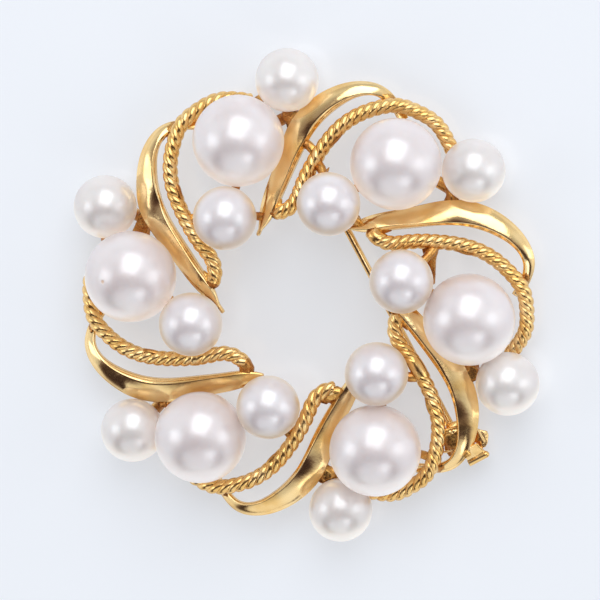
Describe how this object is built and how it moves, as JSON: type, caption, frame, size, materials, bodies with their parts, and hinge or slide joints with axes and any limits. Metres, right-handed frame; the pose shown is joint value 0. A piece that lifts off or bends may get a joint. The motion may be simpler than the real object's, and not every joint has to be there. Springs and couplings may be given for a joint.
{
  "type": "wreath brooch",
  "caption": "Open wreath brooch with polished gold ribbons, twisted gold wires and round pearls, with a hinged pin and a safety catch on its back.",
  "frame": {"origin": "centre of the bounding box, at the floor that the feet stand on", "axes": "+Z from the back to the face, +Y towards the top as worn, +X to the right as seen from the face"},
  "size_m": [0.0384, 0.0404, 0.0103],
  "materials": {
    "gold": "polished",
    "pearl": "lustrous"
  },
  "bodies": {
    "wreath": {"wreath_frame": "gold", "hinge_rivet": "gold", "pearl_large_1": "pearl", "pearl_large_2": "pearl", "pearl_large_3": "pearl", "pearl_large_4": "pearl", "pearl_large_5": "pearl", "pearl_large_6": "pearl", "pearl_outer_1": "pearl", "pearl_outer_2": "pearl", "pearl_outer_3": "pearl", "pearl_outer_4": "pearl", "pearl_outer_5": "pearl", "pearl_outer_6": "pearl", "pearl_inner_1": "pearl", "pearl_inner_2": "pearl", "pearl_inner_3": "pearl", "pearl_inner_4": "pearl", "pearl_inner_5": "pearl", "pearl_inner_6": "pearl"},
    "pin": {"pin_stem": "gold"},
    "lever": {"catch_lever": "gold"}
  },
  "joints": [
    {"name": "pin_swing", "type": "hinge", "parent": "wreath", "child": "pin", "pos_m": [0.00204, 0.00741, 0.0018], "axis": [0.8833, 0.4689, 0], "range_deg": [0, 75]},
    {"name": "lever_turn", "type": "hinge", "parent": "wreath", "child": "lever", "pos_m": [0.01237, -0.01205, 0.0018], "axis": [-0.4689, 0.8833, 0], "range_deg": [0, 150]}
  ]
}
